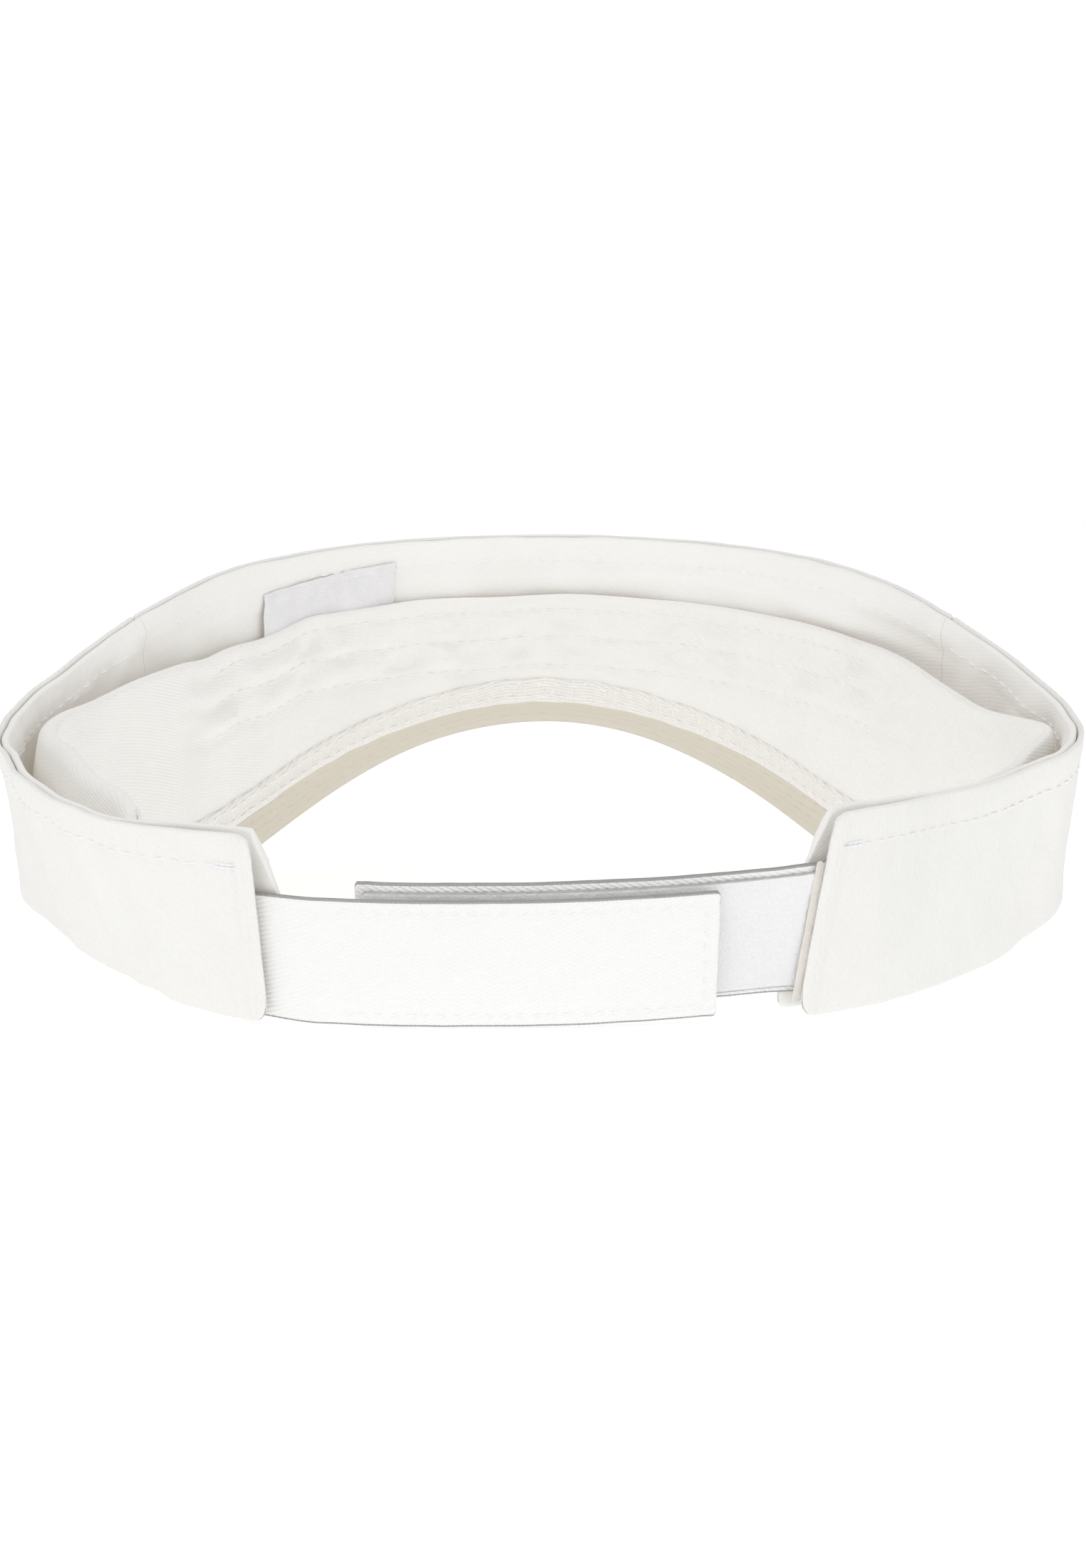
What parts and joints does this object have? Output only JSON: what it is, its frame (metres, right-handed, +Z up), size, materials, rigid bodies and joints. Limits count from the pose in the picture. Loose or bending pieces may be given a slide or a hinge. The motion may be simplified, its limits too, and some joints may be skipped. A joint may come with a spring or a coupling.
{
  "type": "sun visor",
  "caption": "White twill sun visor with a curved brim, an open crown, a padded sweatband and a hook-and-loop strap at the back.",
  "frame": {"origin": "on the table under the middle of the visor, which rests on its brim's corners and the back of its band", "axes": "+Z up; -Y the way the brim points; +X the wearer's left"},
  "size_m": [0.2116, 0.2514, 0.0839],
  "materials": {
    "band_twill": "matte",
    "stiffener": "matte",
    "lining_twill": "matte",
    "thread": "satin",
    "bartack_thread": "satin",
    "sweatband_twill": "matte",
    "sweatband_foam": "matte",
    "binding_tape": "matte",
    "label_satin": "satin",
    "brim_twill": "matte",
    "brim_under_twill": "matte",
    "brim_plastic": "matte",
    "strap_twill": "matte",
    "hook_pile": "matte",
    "loop_pile": "matte"
  },
  "bodies": {
    "root": {"front_panel": "band_twill", "front_stiffener": "stiffener", "front_lining": "lining_twill", "front_topstitch": "thread", "front_sweatband": "sweatband_twill", "front_sweatband_core": "sweatband_foam", "front_binding": "binding_tape", "front_sweatband_stitching": "thread", "care_label": "label_satin", "brim_top_cover": "brim_twill", "brim_board": "brim_plastic", "brim_under_cover": "brim_under_twill", "brim_stitching": "thread"},
    "left_wing": {"left_side_panel": "band_twill", "left_interlining": "stiffener", "left_lining": "lining_twill", "left_topstitch": "thread", "left_sweatband": "sweatband_twill", "left_sweatband_core": "sweatband_foam", "left_binding": "binding_tape", "left_bartacks": "bartack_thread"},
    "right_wing": {"right_side_panel": "band_twill", "right_interlining": "stiffener", "right_lining": "lining_twill", "right_topstitch": "thread", "right_sweatband": "sweatband_twill", "right_sweatband_core": "sweatband_foam", "right_binding": "binding_tape", "right_bartacks": "bartack_thread"},
    "outer_tab": {"outer_strap_tab": "strap_twill"},
    "outer_flap": {"outer_strap": "strap_twill", "hook_tape": "hook_pile", "outer_strap_stitching": "thread"},
    "inner_tab": {"inner_strap_tab": "strap_twill"},
    "inner_flap": {"inner_strap": "strap_twill", "loop_tape": "loop_pile", "inner_strap_stitching": "thread"}
  },
  "joints": [
    {"name": "left_wing_flex", "type": "hinge", "parent": "root", "child": "left_wing", "pos_m": [0.08491, 0.01019, 0.04115], "axis": [0, -0.2062, -0.9785], "range_deg": [-2.5, 8]},
    {"name": "right_wing_flex", "type": "hinge", "parent": "root", "child": "right_wing", "pos_m": [-0.08491, 0.01019, 0.04115], "axis": [0, 0.2062, 0.9785], "range_deg": [-2.5, 8]},
    {"name": "outer_strap_align", "type": "hinge", "parent": "left_wing", "child": "outer_tab", "pos_m": [0.05, 0.11758, 0.01341], "axis": [0, 0.2062, 0.9785], "range_deg": [-0.7, 2.2]},
    {"name": "inner_strap_align", "type": "hinge", "parent": "right_wing", "child": "inner_tab", "pos_m": [-0.048, 0.10811, 0.01745], "axis": [0, -0.2062, -0.9785], "range_deg": [-1.6, 4.9]},
    {"name": "outer_strap_peel", "type": "hinge", "parent": "outer_tab", "child": "outer_flap", "pos_m": [0.03981, 0.11854, 0.01263], "axis": [-0.0105, -0.2868, -0.9579], "range_deg": [0, 95]},
    {"name": "inner_strap_swing", "type": "hinge", "parent": "inner_tab", "child": "inner_flap", "pos_m": [-0.0387, 0.11002, 0.01667], "axis": [0.023, -0.2843, -0.9585], "range_deg": [0, 60]}
  ],
  "couplings": [
    {"joint": "right_wing_flex", "follows": "left_wing_flex", "ratio": 1},
    {"joint": "outer_strap_align", "follows": "left_wing_flex", "ratio": 0.27},
    {"joint": "inner_strap_align", "follows": "left_wing_flex", "ratio": 0.605}
  ]
}
